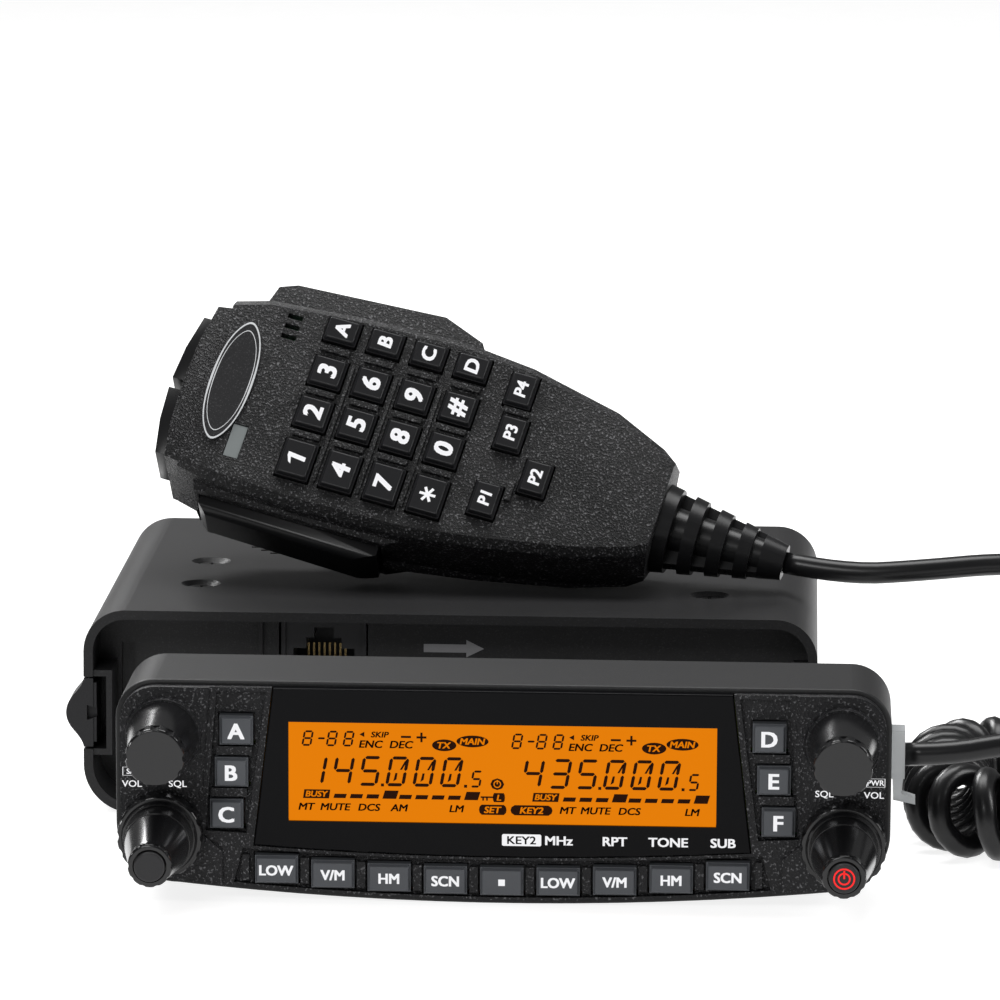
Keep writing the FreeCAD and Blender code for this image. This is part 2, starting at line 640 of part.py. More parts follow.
def squelch_ring(side):
    """The outer ring of the lower pair of knobs, on a hollow shaft."""
    x, z = side * VOLUME_AT[0], VOLUME_AT[1]
    ring = scalloped(7.7, 4.0, (x, -1.2, z), 16, 1.3)
    lip = cone(6.9, 6.5, 1.0, (x, -5.2, z))
    shaft = cyl(4.0, 9.0, (x, 3.9, z), (0, -1, 0))
    bore = cyl(3.05, 14.0, (x, 6.0, z), (0, -1, 0))
    return lean(fuse([ring, lip, shaft]).cut(bore))


def volume_knob(side):
    """The inner knob: a collar, a long cone and a hollow end for its push cap."""
    x, z = side * VOLUME_AT[0], VOLUME_AT[1]
    collar = cone(6.2, 6.0, 3.6, (x, -6.6, z))
    body = cone(5.9, 3.9, 12.4, (x, -10.0, z))
    tip = scalloped(4.0, 2.2, (x, -21.6, z), 10, 0.9)
    shaft = cyl(3.0, 14.0, (x, 4.1, z), (0, -1, 0))
    pocket = cyl(3.05, 5.0, (x, -20.6, z), (0, -1, 0))
    return lean(fuse([collar, body, tip, shaft]).cut(pocket))


def push_cap(side):
    """The push cap in the volume knob's end."""
    x, z = side * VOLUME_AT[0], VOLUME_AT[1]
    cap = cyl(2.75, 2.6, (x, -22.0, z), (0, -1, 0))
    return lean(cap.makeFillet(0.35, cap.Edges[:1]))


def mic_jack():
    """The modular socket in the head's right side."""
    x = HEAD_X + HEAD_W / 2
    block = box(x - 13.5, x - 0.2, PLUG_Y - 4.1, PLUG_Y + 3.7, PLUG_Z - 5.7, PLUG_Z + 6.1)
    mouth = box(x - 11.0, x + 1, PLUG_Y - 3.2, PLUG_Y + 3.2, PLUG_Z - 4.3, PLUG_Z + 5.2)
    return block.cut(mouth)


# ---------------------------------------------------------------- hand microphone
# Drawn with X from head to tail (u), Y across the keypad (w) and Z out of the face (n).

def mic_axes():
    """Unit vectors u, w and n of the microphone as it leans on the main unit."""
    lean_up, turn = math.radians(MIC_LEAN), math.radians(MIC_TURN)
    down = V(0, -math.sin(lean_up), -math.cos(lean_up))
    u = V(math.cos(turn), 0, 0) + down * math.sin(turn)
    w = V(math.sin(turn), 0, 0) - down * math.cos(turn)
    return u, w, u.cross(w)


def mic_matrix():
    u, w, n = mic_axes()
    x, y, z = MIC_AT
    return FreeCAD.Matrix(u.x, w.x, n.x, x, u.y, w.y, n.y, y, u.z, w.z, n.z, z, 0, 0, 0, 1)


def place_mic(shape):
    shape.Placement = FreeCAD.Placement(mic_matrix())
    return shape


def mic_ring(section, inset):
    """One cross-section of the grip, drawn in by inset."""
    u, low, high, thick = section
    low, high, bottom = low - inset, high - inset, thick - inset
    bulge, slope, bevel = 2.2, min(8.0, 0.7 * min(low, high)), 1.6
    outline = [
        (-low, -bevel - inset), (-low + bevel, -inset), (high - bevel, -inset), (high, -bevel - inset),
        (high + bulge, -thick * 0.5), (high - slope, -bottom),
        (-low + slope, -bottom), (-low - bulge, -thick * 0.5),
    ]
    return Part.makePolygon([V(u, w, n) for w, n in outline + outline[:1]])


def mic_loft(inset):
    sections = list(MIC_SECTIONS)
    if inset:
        first, last = sections[0], sections[-1]
        sections[0] = (first[0] + inset,) + first[1:]
        sections[-1] = (last[0] - inset,) + last[1:]
    return Part.makeLoft([mic_ring(section, inset) for section in sections], True, True)


def prism_uw(points, n0, n1):
    wire = Part.makePolygon([V(u, w, n0) for u, w in points + points[:1]])
    return Part.Face(wire).extrude(V(0, 0, n1 - n0))


def mic_outer():
    """The grip's outer form: the lofted shell, the head frame and the bulge over the keypad's top side."""
    frame = [(0.5, -17.2), (-4.2, -16.6), (-5.4, -9), (-5.8, 0), (-5.4, 9), (-4.2, 16.6), (0.5, 17.4)]
    head = prism_uw(frame, -24.0, -2.4)
    dome = [(3.5, 18.0), (5.5, 25.0), (9.0, 26.4), (39.0, 28.2), (47.5, 25.0), (52.0, 18.0)]
    bulge = prism_uw(dome, -19.0, -4.5)
    sill = prism_uw([(2.0, -18.0), (3.4, -21.3), (42.0, -21.7), (46.5, -19.6), (46.5, -17.0)], -19.0, -3.6)
    return fuse([mic_loft(0), head, bulge, sill])


def mic_pockets():
    """Openings for the talk bar and the two head keys."""
    return [
        box(4.2, 41.6, -30, -16.6, -17.4, -5.4),
        box(-10, -1.6, -15.4, -0.7, -19.4, -5.6),
        box(-10, -1.6, 0.7, 15.4, -19.4, -5.6),
    ]


def program_keys():
    """Centres (u, w) of the four program keys."""
    return ((58.9, -8.7), (66.9, -1.7), (59.5, 5.9), (58.7, 15.3))


def mic_key(u, w, size_u, size_w):
    """A rubber key: a tapered cap, a skirt through the shell and a flange inside."""
    def ring(grow, n):
        half_u, half_w = size_u / 2 + grow, size_w / 2 + grow
        corners = [(-1, -1), (1, -1), (1, 1), (-1, 1), (-1, -1)]
        return Part.makePolygon([V(i * half_u, j * half_w, n) for i, j in corners])

    cap = Part.makeLoft([ring(0, 0.4), ring(-0.5, MIC_KEY_T)], True, True)
    cap = cap.makeFillet(0.35, cap.Edges)
    skirt = box(-size_u / 2, size_u / 2, -size_w / 2, size_w / 2, -3.0, 0.75)
    skirt = skirt.makeFillet(0.3, [e for e in skirt.Edges if abs(e.Vertexes[0].Z - e.Vertexes[-1].Z) > 1])
    flange = box(-size_u / 2 - 0.5, size_u / 2 + 0.5, 1.8 - size_w / 2, size_w / 2 - 1.8, -3.3, -2.4)
    key = fuse([cap, skirt, flange])
    key.translate(V(u, w, 0))
    return key


def mic_key_hole(u, w, size_u, size_w):
    gap = 0.3
    return box(u - size_u / 2 - gap, u + size_u / 2 + gap, w - size_w / 2 - gap, w + size_w / 2 + gap, -4, 3)


def mic_ridges():
    """Grained bars between the keys of a row and thin ridges between the rows."""
    bars = []
    for u in MIC_ROWS:
        for (w0, size0), (w1, size1) in zip(MIC_COLUMNS, MIC_COLUMNS[1:]):
            w = (w0 + size0 / 2 + w1 - size1 / 2) / 2
            bars.append(box(u - 2.9, u + 2.9, w - 0.6, w + 0.6, -0.5, 1.1))
    for u0, u1 in zip(MIC_ROWS, MIC_ROWS[1:]):
        u = (u0 + u1) / 2
        bars.append(box(u - 0.3, u + 0.3, -14.6, 11.0, -0.5, 0.6))
    bars.append(box(56.5, 61.7, 10.1, 11.3, -0.5, 1.0))
    bars.append(box(62.3, 63.5, -7.6, -3.4, -0.5, 1.0))
    return bars


def mic_front():
    outer = mic_outer().cut(group(mic_pockets()))
    body = outer.cut(box(-50, 150, -60, 60, -60, MIC_SPLIT)).cut(mic_loft(MIC_SHELL))
    body = fuse([body] + mic_ridges())
    cuts = [mic_key_hole(u, w, MIC_KEY_U, size) for u in MIC_ROWS for w, size in MIC_COLUMNS]
    cuts += [mic_key_hole(u, w, *PROGRAM_SIZE) for u, w in program_keys()]
    cuts += [box(10.0, 13.0, w - 0.5, w + 0.5, -3, 1) for w in (13.4, 15.6, 17.8)]
    cuts.append(box(7.0, 10.2, -14.2, -7.0, -0.8, 1))
    return place_mic(body.cut(group(cuts)))


def mic_back():
    outer = mic_outer().cut(group(mic_pockets()))
    body = outer.cut(box(-50, 150, -60, 60, MIC_SPLIT, 20)).cut(mic_loft(MIC_SHELL))
    return place_mic(body)


def mic_badge():
    """A blank oval plate at the head of the face."""
    ring = []
    for step in range(24):
        angle = 2 * math.pi * step / 24
        reach = 4.3 * (1 - 0.18 * abs(math.sin(angle)) ** 6)
        ring.append((3.9 + reach * math.cos(angle), 1.2 + 13.2 * math.sin(angle)))
    return place_mic(prism_uw(ring, 0.02, 0.5))


def ptt_bar():
    """The push-to-talk bar in the grip's lower side."""
    outline = [(4.6, -18.4), (4.6, -22.8), (6.4, -24.4), (37.0, -25.2), (41.2, -23.4), (41.2, -18.4)]
    bar = prism_uw(outline, -17.0, -5.8)
    long_edges = [e for e in bar.Edges if e.Length > 25 and min(v.Y for v in e.Vertexes) < -24]
    return place_mic(bar.makeFillet(1.6, long_edges))


def head_key(side):
    """The up or down key in the microphone's head, ribbed on its outer face."""
    outline = [(-2.8, 1.05), (-8.8, 1.05), (-8.3, 8.0), (-6.9, 15.05), (-2.8, 15.05)]
    key = prism_uw([(u, side * w) for u, w in outline], -19.05, -5.95)
    ribs = []
    for step in range(8):
        w = side * (2.6 + step * 1.5)
        ribs.append(box(-9.5, -8.15 + 0.012 * step ** 2, w - 0.35, w + 0.35, -17.5, -7.5))
    return place_mic(key.cut(group(ribs)))


def hang_button():
    """The stud on the back that hooks into a holder."""
    face = -29.93
    stud = fuse([cyl(4.0, 3.0, (22, 1, face), (0, 0, -1)), cyl(6.2, 2.2, (22, 1, face - 2.8), (0, 0, -1))])
    return place_mic(stud)


def mic_board():
    board = box(14, 72, -13, 13, -8.6, -7.0)
    capsule = cyl(4.8, 5.0, (11.5, 14.0, -8.0), (0, 0, 1))
    arm = box(10, 16, 8, 13, -8.6, -7.0)
    return place_mic(fuse([board, capsule, arm]))


def mic_key_row(u):
    return place_mic(group([mic_key(u, w, MIC_KEY_U, size) for w, size in MIC_COLUMNS]))


def program_key_group():
    return place_mic(group([mic_key(u, w, *PROGRAM_SIZE) for u, w in program_keys()]))


# ---------------------------------------------------------------- cord

def mic_point(u, w, n):
    axis_u, axis_w, axis_n = mic_axes()
    return V(*MIC_AT) + axis_u * u + axis_w * w + axis_n * n


def mic_boot():
    """The ribbed strain relief: rings that shrink towards the tip, tied by a web."""
    start, length = BOOT_START, BOOT_LENGTH
    along = (1, 0, 0)
    core = Part.makeCone(5.0, 3.0, length, V(start, 0, BOOT_N), V(*along))
    tip = Part.makeCone(4.4, 3.5, 4.6, V(start + length - 4.6, 0, BOOT_N), V(*along))
    rings = []
    for step, radius in enumerate((8.8, 7.8, 6.7, 5.6)):
        rings.append(Part.makeCone(radius, radius - 0.5, 2.6, V(start + step * 5.3, 0, BOOT_N), V(*along)))
    end = start + length - 1
    web = prism_uw([(start, -8.0), (end, -3.4), (end, 3.4), (start, 8.0)], BOOT_N - 1.4, BOOT_N + 1.4)
    slots = [box(start + gap, start + gap + 0.8, -9, 9, BOOT_N - 0.5, BOOT_N + 0.5) for gap in (3.6, 8.9, 14.2)]
    body = fuse([core, tip, web] + rings).cut(group(slots))
    return place_mic(body)


def route_wire(points):
    """Straight runs joined by tangent arcs, each as large as its two runs allow."""
    edges = []
    radii = []
    at = points[0]
    for before, here, after in zip(points, points[1:], points[2:]):
        back, ahead = before - here, after - here
        half_turn = (math.pi - back.getAngle(ahead)) / 2
        reach = 0.45 * min(back.Length, ahead.Length)
        radii.append(reach / math.tan(half_turn))
        start = here + back.normalize() * reach
        end = here + ahead.normalize() * reach
        bisector = (start + end) * 0.5 - here
        radius = radii[-1]
        depth = radius / math.cos(half_turn) - radius
        middle = here + bisector.normalize() * depth
        edges.append(Part.LineSegment(at, start).toShape())
        edges.append(Part.Arc(start, middle, end).toShape())
        at = end
    edges.append(Part.LineSegment(at, points[-1]).toShape())
    return Part.Wire(edges), radii


def cable(name, points):
    """A plain round cable along the route, with its radii and volume printed."""
    wire, radii = route_wire(points)
    heading = points[1] - points[0]
    ring = Part.Wire(Part.makeCircle(CABLE_R, points[0], heading))
    solid = wire.makePipeShell([ring], True, False)
    expected = math.pi * CABLE_R ** 2 * wire.Length
    print(name, "length", round(wire.Length, 1), "volume ratio", round(solid.Volume / expected, 4))
    print(name, "arc radii", [round(radius, 1) for radius in radii])
    return solid


def coil_ends():
    """Centres of the coil's two end faces: the lead's end, then the tail's end."""
    back = V(COIL_END_X, COIL_BEND_Y + COIL_BEND_R, COIL_R)
    front = V(COIL_END_X, COIL_BEND_Y - COIL_BEND_R, COIL_R)
    return back, front


def cord_lead():
    tip = mic_point(BOOT_START + BOOT_LENGTH + CORD_GAP, 0, BOOT_N)
    return cable("cord_lead", [tip] + [V(*point) for point in LEAD_ROUTE] + [coil_ends()[0]])


def plug_end():
    return V(HEAD_X + HEAD_W / 2 + 2.6, PLUG_Y, PLUG_Z)


def cord_tail():
    start = plug_end() + V(CORD_GAP, 0, 0)
    return cable("cord_tail", [start] + [V(*point) for point in TAIL_ROUTE] + [coil_ends()[1]])


def cord_coil():
    """The curly cord's outer form: two runs side by side, joined by a bend."""
    back, front = coil_ends()
    left_back = V(COIL_BEND_X, back.y, COIL_R)
    left_front = V(COIL_BEND_X, front.y, COIL_R)
    bend = Part.Arc(left_back, V(COIL_BEND_X - COIL_BEND_R, COIL_BEND_Y, COIL_R), left_front).toShape()
    wire = Part.Wire([Part.makeLine(back, left_back), bend, Part.makeLine(left_front, front)])
    ring = Part.Wire(Part.makeCircle(COIL_R, back, V(1, 0, 0)))
    return wire.makePipeShell([ring], True, False)


def cord_plug():
    """A clear modular plug with its release tab below."""
    end = plug_end()
    side = HEAD_X + HEAD_W / 2
    body = box(side - 9.5, end.x, PLUG_Y - 2.9, PLUG_Y + 2.9, PLUG_Z - 4.0, PLUG_Z + 4.9)
    outline = [(0.4, -3.9), (2.4, -3.9), (2.0, -7.0), (4.6, -7.8), (4.6, -9.0), (0.6, -8.2)]
    tab = prism_xz([(side + x, PLUG_Z + z) for x, z in outline], PLUG_Y - 1.6, PLUG_Y + 1.6)
    return body.fuse(tab).removeSplitter()


# ---------------------------------------------------------------- all nodes

def main_unit_nodes():
    makers = (chassis, top_cover, case_screws, front_tray, release_latch, panel_jack, main_board, power_module,
              fan_frame, fan_rotor, antenna_socket, rear_sockets, speaker)
    return {maker.__name__: maker() for maker in makers}


def head_nodes():
    makers = (panel_housing, panel_bezel, display_window, lcd_module, panel_board, mic_jack)
    nodes = {maker.__name__: maker() for maker in makers}
    for name, side in (("left", -1), ("right", 1)):
        nodes["dial_knob_" + name] = dial_knob(side)
        nodes["squelch_ring_" + name] = squelch_ring(side)
        nodes["volume_knob_" + name] = volume_knob(side)
        nodes["push_cap_" + name] = push_cap(side)
    for side, letters in ((-1, "abc"), (1, "def")):
        for letter, centre in zip(letters, letter_keys(side)):
            nodes["key_" + letter] = panel_key(centre, LETTER_SIZE)
    for index, centre in enumerate(function_keys()):
        nodes["function_key_" + str(index + 1)] = panel_key(centre, FUNCTION_SIZE)
    return nodes


def microphone_nodes():
    makers = (mic_front, mic_back, mic_badge, ptt_bar, hang_button, mic_board, mic_boot)
    nodes = {maker.__name__: maker() for maker in makers}
    nodes["up_key"] = head_key(1)
    nodes["down_key"] = head_key(-1)
    for index, u in enumerate(MIC_ROWS):
        nodes["keypad_row_" + str(index + 1)] = mic_key_row(u)
    nodes["program_keys"] = program_key_group()
    return nodes


def cord_nodes():
    return {maker.__name__: maker() for maker in (cord_lead, cord_coil, cord_tail, cord_plug)}


def main():
    os.makedirs("parts", exist_ok=True)
    nodes = {}
    for family in (main_unit_nodes(), head_nodes(), microphone_nodes(), cord_nodes()):
        nodes.update(family)
    for name, shape in nodes.items():
        save(name, shape)
    print(len(nodes), "nodes")


main()
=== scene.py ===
"""Mobile transceiver with its detached control head, hand microphone and curly cord.

Metres in the row frame: origin on the main unit's flat underside, +X to the right, +Y to the back.
The sizes and places named below, and the helpers that place marks, take millimetres.
"""
import bmesh
import bpy
import json
import math
from mathutils import Matrix, Vector


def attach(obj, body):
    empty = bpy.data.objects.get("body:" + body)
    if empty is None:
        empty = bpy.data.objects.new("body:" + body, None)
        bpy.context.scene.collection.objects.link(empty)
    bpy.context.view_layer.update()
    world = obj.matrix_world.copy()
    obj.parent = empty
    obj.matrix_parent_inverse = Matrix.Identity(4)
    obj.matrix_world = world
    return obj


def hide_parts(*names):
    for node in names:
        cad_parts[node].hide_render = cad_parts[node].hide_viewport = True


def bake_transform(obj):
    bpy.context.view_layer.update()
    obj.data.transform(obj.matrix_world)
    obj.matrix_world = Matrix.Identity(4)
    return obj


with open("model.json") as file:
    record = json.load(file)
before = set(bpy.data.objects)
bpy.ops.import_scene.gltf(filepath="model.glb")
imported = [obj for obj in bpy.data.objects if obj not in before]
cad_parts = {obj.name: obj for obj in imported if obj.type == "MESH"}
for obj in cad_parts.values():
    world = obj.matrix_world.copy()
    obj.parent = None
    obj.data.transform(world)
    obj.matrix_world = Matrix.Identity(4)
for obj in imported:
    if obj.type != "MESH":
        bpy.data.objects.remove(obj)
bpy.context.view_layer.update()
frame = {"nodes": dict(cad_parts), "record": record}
NODES = frame["nodes"]
BODY_OF = {node: body for body, nodes in frame["record"]["behaviour"]["bodies"].items() for node in nodes}
SLOT_OF = {row["node"]: row["material_slot"] for row in frame["record"]["subparts"]}
MM = 0.001

# camera, in metres and radians
TARGET = Vector((9.4, -62.5, 61.9)) * MM
AZIMUTH = math.radians(2.49)
ELEVATION = math.radians(10.0)
ROLL = math.radians(0.38)
DISTANCE = 1.308
LENS = 248.4

# the control head's face leans by HEAD_LEAN about its bottom edge; the OUT values stand in front of it
HEAD_LEAN = math.radians(3.0)
HEAD_AT = Vector((13.3, -133.7, 0.0))
KEY_TOP = 1.2
GLASS_OUT = 0.0
WINDOW_OUT = 0.35
PAD_OUT = 0.62
CAP_OUT = 24.63
VOLUME_AT = (61.6, 13.1)
LETTER_KEYS = ((48.0, 32.1), (48.9, 24.3), (49.8, 16.5))
FUNCTION_KEY_PITCH = 10.2
FUNCTION_KEY_Z = 4.6
FUNCTION_KEY_RISE = 1.6
WINDOW_WORD_Z = 12.4

# marks stand this far off the surface that they are on, and a second layer a little further
INK = 0.03
SECOND_INK = 0.06

# the display, in the face's own coordinates
DIGIT_PITCH = 4.9
DIGIT_X = -35.9
DIGIT_Z = 22.0
RIGHT_CHANNEL = 37.8

# main unit
TRAY_WALL_Y = -50.53
JACK_BACK_Y = -40.0
JACK_X = -24.9
CONTACT_PITCH = 1.02

# the microphone lies back against the main unit and is turned in its own plane
MIC_AT = Vector((-48.8, -24.6, 77.9))
MIC_LEAN = math.radians(33.0)
MIC_TURN = math.radians(16.0)
MIC_ROWS = (21.4, 30.3, 39.2, 48.1)
MIC_COLUMNS = (-11.2, -1.1, 8.0, 17.2)
MIC_PROGRAM = ((58.9, -8.7), (66.9, -1.7), (59.5, 5.9), (58.7, 15.3))
MIC_KEY_TOP = 1.7

# cord
CABLE_R = 2.15
COIL_R = 8.8
COIL_PITCH = 6.0
COIL_END_TURNS = 1.2
LEAD_ROUTE = (
    (63.5, -33.3, 45.2), (75.4, -35.6, 43.4), (90.0, -35.0, 44.4), (107.0, -30.5, 45.4),
    (126.0, -22.0, 42.5), (146.0, -14.0, 34.5), (165.0, -7.0, 22.5), (182.0, -2.0, 10.5),
    (198.0, 1.0, 3.8), (214.0, 0.8, 2.3), (227.0, -6.5, 2.3), (232.0, -20.5, 2.3),
    (227.5, -34.8, 3.2), (214.5, -42.9, 5.6), (199.5, -44.2, 8.2), (190.0, -44.0, 8.8),
)
COIL_ROUTE = (
    (190.0, -44.0, 8.8), (182.0, -44.0, 8.8), (165.0, -44.0, 8.8), (145.0, -44.0, 8.8), (118.5, -44.0, 8.8),
    (95.0, -44.0, 8.8), (95.0, -67.5, 8.8), (95.0, -91.0, 8.8),
    (118.5, -91.0, 8.8), (145.0, -91.0, 8.8), (165.0, -91.0, 8.8), (182.0, -91.0, 8.8), (190.0, -91.0, 8.8),
)
TAIL_ROUTE = (
    (190.0, -91.0, 8.8), (204.5, -92.0, 6.4), (218.0, -98.4, 3.2), (223.0, -111.5, 2.3),
    (217.0, -125.0, 2.3), (203.0, -131.0, 2.3), (187.0, -130.0, 2.3), (171.0, -126.0, 4.4),
    (157.0, -120.5, 10.5), (144.0, -115.6, 18.5), (130.0, -112.6, 25.3), (116.0, -112.8, 28.2),
    (104.0, -115.6, 27.4), (94.0, -117.7, 25.8), (85.9, -117.7, 25.7),
)


# ------------------------------------------------------------ camera, light and floor

def place_camera():
    """The photograph's viewing angle, turned by ROLL about the line of sight."""
    right = Vector((math.cos(AZIMUTH), math.sin(AZIMUTH), 0))
    back = Vector((math.sin(AZIMUTH) * math.cos(ELEVATION), -math.cos(AZIMUTH) * math.cos(ELEVATION),
                   math.sin(ELEVATION)))
    up = back.cross(right)
    x = math.cos(ROLL) * right + math.sin(ROLL) * up
    y = -math.sin(ROLL) * right + math.cos(ROLL) * up
    at = TARGET + back * DISTANCE
    data = bpy.data.cameras.new("camera")
    data.lens = LENS
    data.sensor_width = 36
    data.clip_start = 0.05
    data.clip_end = 50
    camera = bpy.data.objects.new("camera", data)
    bpy.context.scene.collection.objects.link(camera)
    rows = [(x[i], y[i], back[i], at[i]) for i in range(3)] + [(0, 0, 0, 1)]
    camera.matrix_world = Matrix(rows)
    bpy.context.scene.camera = camera


def area_light(name, at, towards, size, power):
    data = bpy.data.lights.new(name, "AREA")
    data.shape = "RECTANGLE"
    data.size, data.size_y = size
    data.energy = power
    lamp = bpy.data.objects.new(name, data)
    bpy.context.scene.collection.objects.link(lamp)
    lamp.location = at
    lamp.rotation_euler = (Vector(towards) - Vector(at)).to_track_quat("-Z", "Y").to_euler()


def light_scene():
    world = bpy.data.worlds.new("studio")
    world.use_nodes = True
    background = world.node_tree.nodes["Background"]
    background.inputs["Color"].default_value = (1, 1, 1, 1)
    background.inputs["Strength"].default_value = 0.16
    bpy.context.scene.world = world
    area_light("top", (0.0, 0.15, 0.95), (0, -0.06, 0.03), (0.9, 0.5), 11)
    area_light("rim", (-0.5, 0.75, 0.75), (0, -0.02, 0.05), (0.5, 0.3), 9)
    area_light("side", (0.95, -0.2, 0.5), (0, -0.05, 0.03), (0.2, 0.5), 5)
    area_light("front", (-0.35, -1.2, 0.75), (0, -0.1, 0.03), (0.5, 0.3), 7)


# ------------------------------------------------------------ materials

def shader(name, colour, rough, metallic=0.0, sheen=0.2):
    """A principled material whose base colour varies a little by noise."""
    material = bpy.data.materials.new(name)
    material.use_nodes = True
    tree = material.node_tree
    bsdf = tree.nodes["Principled BSDF"]
    bsdf.inputs["Roughness"].default_value = rough
    bsdf.inputs["Metallic"].default_value = metallic
    bsdf.inputs["Specular IOR Level"].default_value = 0.5 if metallic else sheen
    place = tree.nodes.new("ShaderNodeTexCoord")
    noise = tree.nodes.new("ShaderNodeTexNoise")
    noise.inputs["Scale"].default_value = 90
    mix = tree.nodes.new("ShaderNodeMix")
    mix.data_type = "RGBA"
    mix.inputs["A"].default_value = [c * 0.88 for c in colour] + [1]
    mix.inputs["B"].default_value = [min(1, c * 1.12) for c in colour] + [1]
    tree.links.new(place.outputs["Object"], noise.inputs["Vector"])
    tree.links.new(noise.outputs["Fac"], mix.inputs["Factor"])
    tree.links.new(mix.outputs["Result"], bsdf.inputs["Base Color"])
    return material, tree, bsdf, place


def plain(name, colour, rough, metallic=0.0, **constants):
    """A smooth surface; constants are values of shader sockets, with _ for each space in their names."""
    material, _, bsdf, _ = shader(name, colour, rough, metallic)
    for socket, value in constants.items():
        bsdf.inputs[socket.replace("_", " ")].default_value = value
    return material


def grained(name, colour, rough, grain, depth, glint_strength=0.0):
    """A textured surface: noise cells of grain metres raised by depth; where asked, the raised peaks get a
    paler grey as a painted glint.
    """
    material, tree, bsdf, place = shader(name, colour, rough)
    noise = tree.nodes.new("ShaderNodeTexNoise")
    noise.inputs["Scale"].default_value = 1 / grain
    noise.inputs["Detail"].default_value = 3
    bump = tree.nodes.new("ShaderNodeBump")
    bump.inputs["Distance"].default_value = depth
    bump.inputs["Strength"].default_value = 1.0
    tree.links.new(place.outputs["Object"], noise.inputs["Vector"])
    tree.links.new(noise.outputs["Fac"], bump.inputs["Height"])
    tree.links.new(bump.outputs["Normal"], bsdf.inputs["Normal"])
    # the paler grey laid on the grain's raised peaks is a painted glint
    if glint_strength:
        glint_peaks = tree.nodes.new("ShaderNodeMapRange")
        glint_peaks.inputs["From Min"].default_value = 0.58
        glint_peaks.inputs["From Max"].default_value = 0.68
        glint_peaks.inputs["To Min"].default_value = 0.0
        glint_peaks.inputs["To Max"].default_value = glint_strength
        mix = tree.nodes.new("ShaderNodeMix")
        mix.data_type = "RGBA"
        mix.inputs["B"].default_value = (0.5, 0.5, 0.52, 1)
        below = bsdf.inputs["Base Color"].links[0].from_socket
        tree.links.new(noise.outputs["Fac"], glint_peaks.inputs["Value"])
        tree.links.new(glint_peaks.outputs["Result"], mix.inputs["Factor"])
        tree.links.new(below, mix.inputs["A"])
        tree.links.new(mix.outputs["Result"], bsdf.inputs["Base Color"])
    return material


def glowing(name, colour, strength, rough=0.5, body=1.0, sheen=0.2):
    """A surface that also gives off light; body scales the colour that it reflects."""
    material, _, bsdf, _ = shader(name, [c * body for c in colour], rough, 0.0, sheen)
    bsdf.inputs["Emission Color"].default_value = tuple(colour) + (1,)
    bsdf.inputs["Emission Strength"].default_value = strength
    return material


def make_materials():
    fine, coarse = 0.0003, 0.00042
    return {
        # a last number given to grained() sets how strong the painted glint on the grain's peaks is
        "case_black": grained("case_black", (0.012, 0.012, 0.0125), 0.42, fine, 0.00004, 0.02),
        "latch_black": grained("latch_black", (0.014, 0.014, 0.015), 0.45, fine, 0.00003),
        "socket_plastic": plain("socket_plastic", (0.02, 0.02, 0.021), 0.4),
        "fan_black": plain("fan_black", (0.02, 0.02, 0.02), 0.45),
        "board_green": plain("board_green", (0.02, 0.12, 0.05), 0.4),
        "bare_aluminium": plain("bare_aluminium", (0.7, 0.7, 0.72), 0.35, 1.0),
        "nickel": plain("nickel", (0.72, 0.7, 0.66), 0.22, 1.0),
        "screw_steel": plain("screw_steel", (0.05, 0.05, 0.05), 0.3, 1.0),
        "speaker_paper": plain("speaker_paper", (0.03, 0.03, 0.03), 0.8),
        "housing_grey": grained("housing_grey", (0.011, 0.011, 0.0115), 0.48, fine, 0.00003, 0.02),
        "bezel_black": grained("bezel_black", (0.008, 0.008, 0.009), 0.42, coarse, 0.0003, 0.2),
        "window_black": plain("window_black", (0.003, 0.003, 0.0035), 0.14, Specular_IOR_Level=0.06),
        "display_amber": glowing("display_amber", (0.8, 0.21, 0.0), 0.95, 0.3, 0.03, 0.03),
        "knob_black": plain("knob_black", (0.005, 0.005, 0.0055), 0.2, Specular_IOR_Level=0.4),
        "cap_black": grained("cap_black", (0.02, 0.02, 0.021), 0.4, fine, 0.00003),
        "key_grey": plain("key_grey", (0.066, 0.07, 0.077), 0.4),
        "mic_black": grained("mic_black", (0.0055, 0.0055, 0.006), 0.4, coarse, 0.00035, 0.22),
        "badge_black": grained("badge_black", (0.012, 0.012, 0.013), 0.4, fine, 0.00005, 0.05),
        "bar_gloss": plain("bar_gloss", (0.007, 0.007, 0.0075), 0.28),
        "mic_key_rubber": plain("mic_key_rubber", (0.009, 0.009, 0.01), 0.34),
        "cable_rubber": plain("cable_rubber", (0.005, 0.005, 0.0055), 0.32, Specular_IOR_Level=0.3),
        "plug_clear": plain("plug_clear", (0.6, 0.62, 0.63), 0.12, Transmission_Weight=0.35, IOR=1.5),
        # the white print on the keys, window and pads glows a little to even out its shading: a painted
        # glow, these legends hold no lamp
        "white": glowing("legend_white_painted_glow", (0.9, 0.9, 0.92), 0.85, body=0.15),
        "silver": plain("silver_line", (0.5, 0.51, 0.52), 0.35),
        "segment": plain("segment_brown", (0.016, 0.003, 0.0), 0.35, Specular_IOR_Level=0.04),
        "grey": plain("arrow_grey", (0.16, 0.16, 0.165), 0.5),
        # the red power mark on the right push cap is given a glow: painted light, the mark holds no lamp
        "red": glowing("ring_red_painted_glow", (0.7, 0.012, 0.012), 0.5),
        "lamp": plain("lamp_grey", (0.17, 0.185, 0.185), 0.18),
        "gold": plain("contact_gold", (0.75, 0.55, 0.25), 0.25, 1.0),
    }


MATERIALS = {}
# CAD nodes shown with rounded edges, and the rounding in mm
SOFT_EDGES = {"mic_front": 0.7, "mic_back": 0.9, "ptt_bar": 0.5, "up_key": 0.5, "down_key": 0.5}


# ------------------------------------------------------------ frames of the leaning parts

